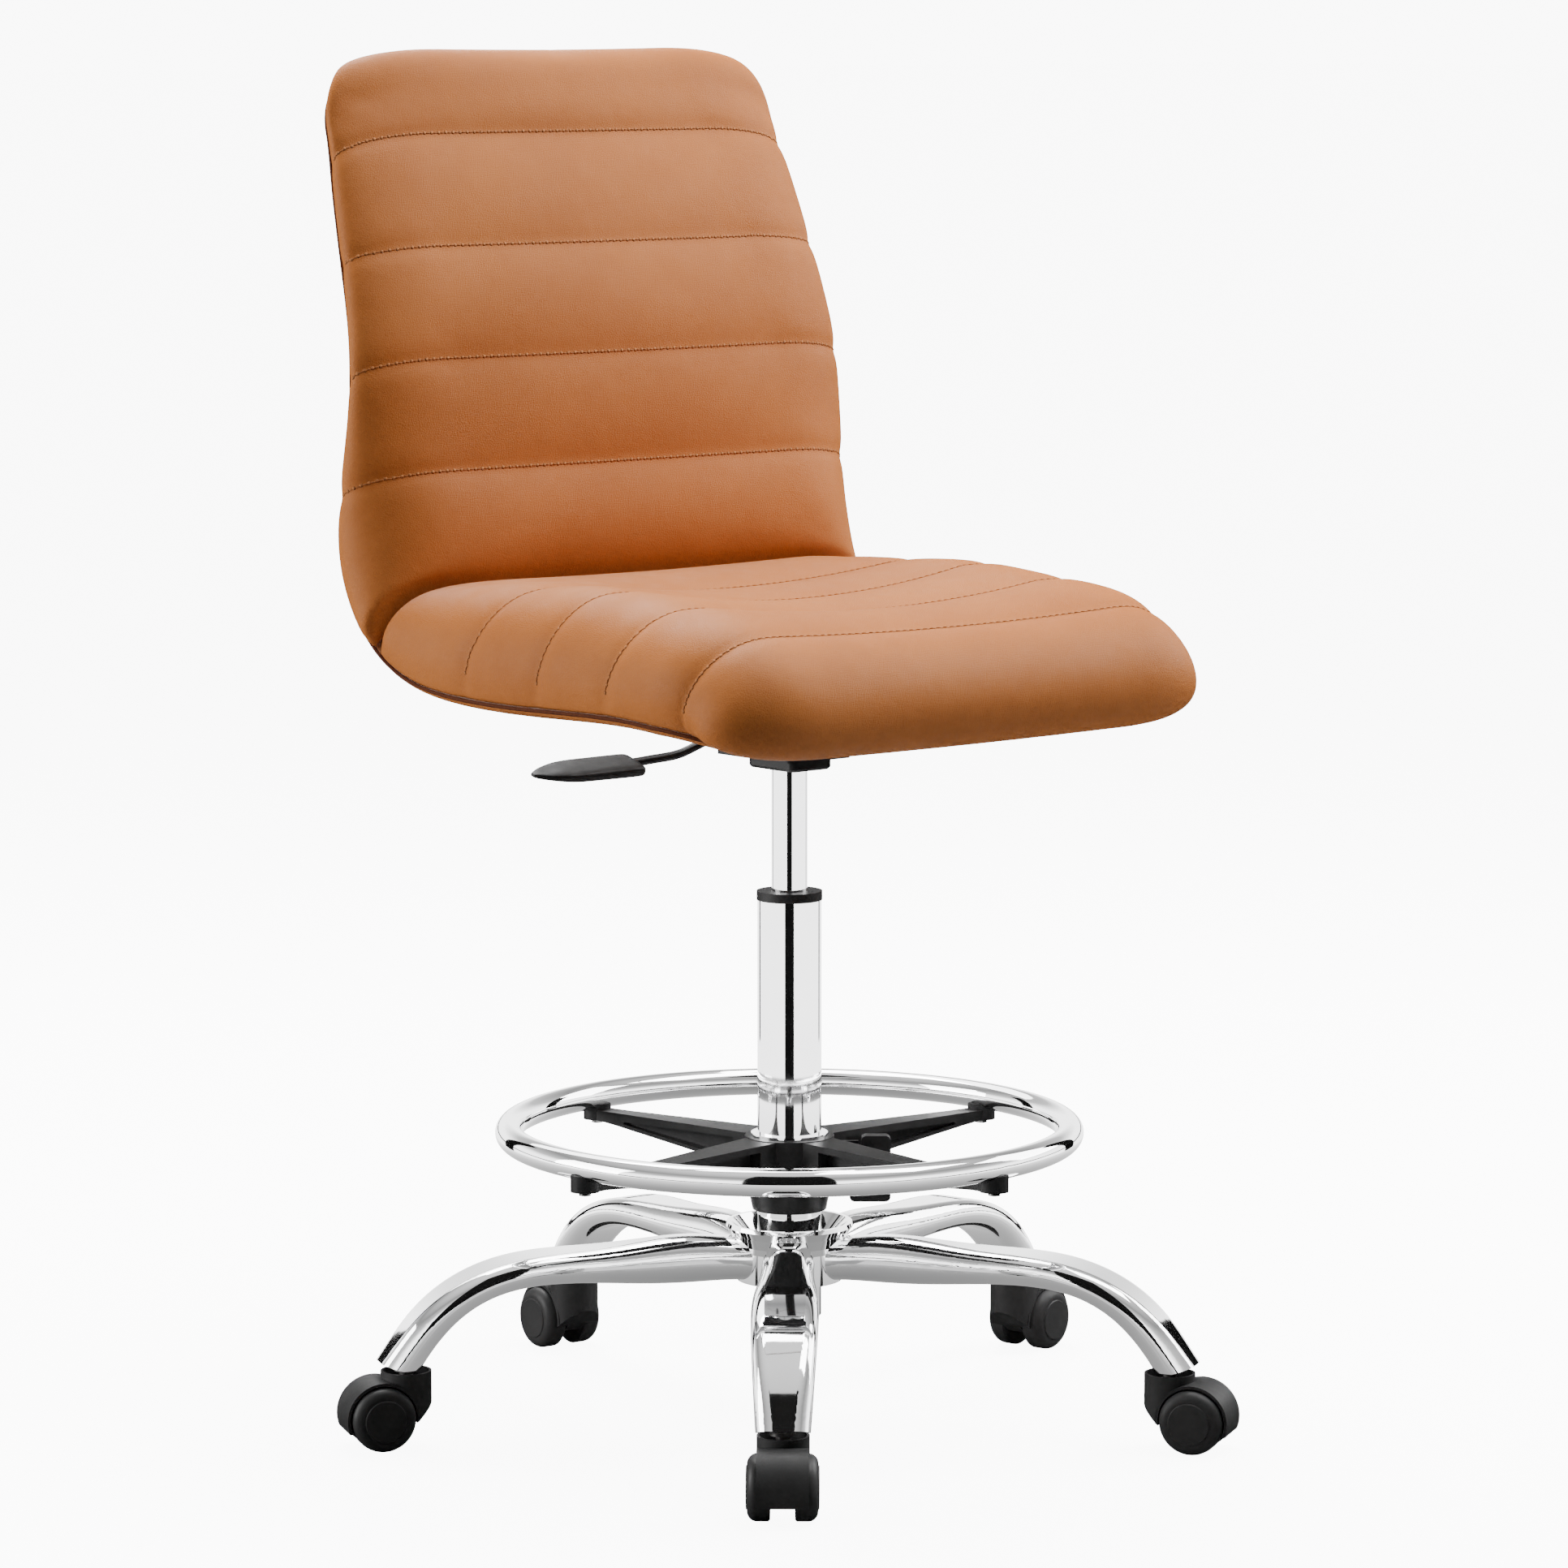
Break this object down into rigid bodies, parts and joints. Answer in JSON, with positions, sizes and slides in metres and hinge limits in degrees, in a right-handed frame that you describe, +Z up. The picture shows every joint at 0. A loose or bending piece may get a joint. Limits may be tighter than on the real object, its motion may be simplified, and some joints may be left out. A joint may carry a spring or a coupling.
{
  "type": "adjustable swivel stool",
  "caption": "Armless upholstered drafting stool on a gas column with a sliding footring and a five-star base on twin-wheel casters.",
  "frame": {"origin": "on the floor, on the swivel axis", "axes": "+Z up along the column, the seat's front towards -Y, the height lever towards -X"},
  "size_m": [0.6923, 0.6805, 1.07],
  "materials": {
    "leatherette": null,
    "plywood": "bent plywood",
    "chrome": "polished chrome plate",
    "black_steel": "black powder coat",
    "zinc_steel": "bright zinc plate",
    "black_nylon": "moulded black nylon"
  },
  "bodies": {
    "base": {"base_hub": "chrome", "base_arm_1": "chrome", "base_arm_2": "chrome", "base_arm_3": "chrome", "base_arm_4": "chrome", "base_arm_5": "chrome", "caster_sockets": "black_nylon", "column_tube": "chrome", "column_end_plate": "zinc_steel", "guide_bush": "black_nylon", "thrust_bearing": "zinc_steel", "caster_stem_1": "zinc_steel", "caster_stem_2": "zinc_steel", "caster_stem_3": "zinc_steel", "caster_stem_4": "zinc_steel", "caster_stem_5": "zinc_steel"},
    "piston": {"piston_rod": "zinc_steel", "piston_head": "black_nylon", "bearing_race": "zinc_steel", "rod_clip": "zinc_steel"},
    "seat": {"gas_cylinder": "chrome", "rod_guide": "black_nylon", "seat_plate": "black_steel", "plate_bolts": "zinc_steel", "tee_nuts": "zinc_steel", "lever_pin": "zinc_steel", "seat_shell": "plywood", "rear_cover": "leatherette", "seat_pad": "leatherette", "back_pad": "leatherette"},
    "lever": {"lever_rod": "black_steel", "lever_grip": "black_nylon"},
    "valve": {"valve_pin": "zinc_steel"},
    "footrest_carrier": {"footrest_sleeve": "black_nylon"},
    "footrest": {"footrest_spider": "black_nylon", "footrest_ring": "chrome", "footrest_screws": "zinc_steel", "lock_pin": "zinc_steel"},
    "footrest_lock": {"lock_lever": "black_steel"},
    "caster_1": {"caster_hood_1": "black_nylon", "caster_axle_1": "zinc_steel"},
    "wheel_left_1": {"wheel_left_1": "black_nylon"},
    "wheel_right_1": {"wheel_right_1": "black_nylon"},
    "caster_2": {"caster_hood_2": "black_nylon", "caster_axle_2": "zinc_steel"},
    "wheel_left_2": {"wheel_left_2": "black_nylon"},
    "wheel_right_2": {"wheel_right_2": "black_nylon"},
    "caster_3": {"caster_hood_3": "black_nylon", "caster_axle_3": "zinc_steel"},
    "wheel_left_3": {"wheel_left_3": "black_nylon"},
    "wheel_right_3": {"wheel_right_3": "black_nylon"},
    "caster_4": {"caster_hood_4": "black_nylon", "caster_axle_4": "zinc_steel"},
    "wheel_left_4": {"wheel_left_4": "black_nylon"},
    "wheel_right_4": {"wheel_right_4": "black_nylon"},
    "caster_5": {"caster_hood_5": "black_nylon", "caster_axle_5": "zinc_steel"},
    "wheel_left_5": {"wheel_left_5": "black_nylon"},
    "wheel_right_5": {"wheel_right_5": "black_nylon"}
  },
  "joints": [
    {"name": "seat_swivel", "type": "hinge", "parent": "base", "child": "piston", "pos_m": [0, 0, 0.09], "axis": [0, 0, 1], "continuous": true},
    {"name": "seat_lift", "type": "slide", "parent": "piston", "child": "seat", "axis": [0, 0, 1], "range_m": [-0.09, 0.11]},
    {"name": "lever_lift", "type": "hinge", "parent": "seat", "child": "lever", "pos_m": [-0.023, 0, 0.553], "axis": [0, 1, 0], "range_deg": [0, 6], "stiffness_Nm_per_rad": 4, "springref_deg": -5.73},
    {"name": "valve_press", "type": "slide", "parent": "seat", "child": "valve", "axis": [0, 0, 1], "range_m": [-0.003, 0]},
    {"name": "footrest_height", "type": "slide", "parent": "base", "child": "footrest_carrier", "axis": [0, 0, 1], "range_m": [0, 0.15]},
    {"name": "footrest_turn", "type": "hinge", "parent": "footrest_carrier", "child": "footrest", "pos_m": [0, 0, 0.2], "axis": [0, 0, 1], "continuous": true},
    {"name": "footrest_release", "type": "hinge", "parent": "footrest", "child": "footrest_lock", "pos_m": [0.03547, -0.03084, 0.2], "axis": [-0.6561, -0.7547, 0], "range_deg": [0, 35]},
    {"name": "caster_swivel_1", "type": "hinge", "parent": "base", "child": "caster_1", "pos_m": [-0.20636, -0.22999, 0.05], "axis": [0, 0, 1], "continuous": true},
    {"name": "wheel_left_roll_1", "type": "hinge", "parent": "caster_1", "child": "wheel_left_1", "pos_m": [-0.22105, -0.24637, 0.025], "axis": [0.7443, -0.6678, 0], "continuous": true},
    {"name": "wheel_right_roll_1", "type": "hinge", "parent": "caster_1", "child": "wheel_right_1", "pos_m": [-0.22105, -0.24637, 0.025], "axis": [0.7443, -0.6678, 0], "continuous": true},
    {"name": "caster_swivel_2", "type": "hinge", "parent": "base", "child": "caster_2", "pos_m": [0.15497, -0.26733, 0.05], "axis": [0, 0, 1], "continuous": true},
    {"name": "wheel_left_roll_2", "type": "hinge", "parent": "caster_2", "child": "wheel_left_2", "pos_m": [0.166, -0.28636, 0.025], "axis": [0.8652, 0.5015, 0], "continuous": true},
    {"name": "wheel_right_roll_2", "type": "hinge", "parent": "caster_2", "child": "wheel_right_2", "pos_m": [0.166, -0.28636, 0.025], "axis": [0.8652, 0.5015, 0], "continuous": true},
    {"name": "caster_swivel_3", "type": "hinge", "parent": "base", "child": "caster_3", "pos_m": [0.30213, 0.06477, 0.05], "axis": [0, 0, 1], "continuous": true},
    {"name": "wheel_left_roll_3", "type": "hinge", "parent": "caster_3", "child": "wheel_left_3", "pos_m": [0.32365, 0.06938, 0.025], "axis": [-0.2096, 0.9778, 0], "continuous": true},
    {"name": "wheel_right_roll_3", "type": "hinge", "parent": "caster_3", "child": "wheel_right_3", "pos_m": [0.32365, 0.06938, 0.025], "axis": [-0.2096, 0.9778, 0], "continuous": true},
    {"name": "caster_swivel_4", "type": "hinge", "parent": "base", "child": "caster_4", "pos_m": [0.03176, 0.30736, 0.05], "axis": [0, 0, 1], "continuous": true},
    {"name": "wheel_left_roll_4", "type": "hinge", "parent": "caster_4", "child": "wheel_left_4", "pos_m": [0.03402, 0.32925, 0.025], "axis": [-0.9947, 0.1028, 0], "continuous": true},
    {"name": "wheel_right_roll_4", "type": "hinge", "parent": "caster_4", "child": "wheel_right_4", "pos_m": [0.03402, 0.32925, 0.025], "axis": [-0.9947, 0.1028, 0], "continuous": true},
    {"name": "caster_swivel_5", "type": "hinge", "parent": "base", "child": "caster_5", "pos_m": [-0.2825, 0.12519, 0.05], "axis": [0, 0, 1], "continuous": true},
    {"name": "wheel_left_roll_5", "type": "hinge", "parent": "caster_5", "child": "wheel_left_5", "pos_m": [-0.30262, 0.1341, 0.025], "axis": [-0.4051, -0.9143, 0], "continuous": true},
    {"name": "wheel_right_roll_5", "type": "hinge", "parent": "caster_5", "child": "wheel_right_5", "pos_m": [-0.30262, 0.1341, 0.025], "axis": [-0.4051, -0.9143, 0], "continuous": true}
  ],
  "couplings": [
    {"joint": "valve_press", "follows": "lever_lift", "m_per_rad": -0.027}
  ]
}
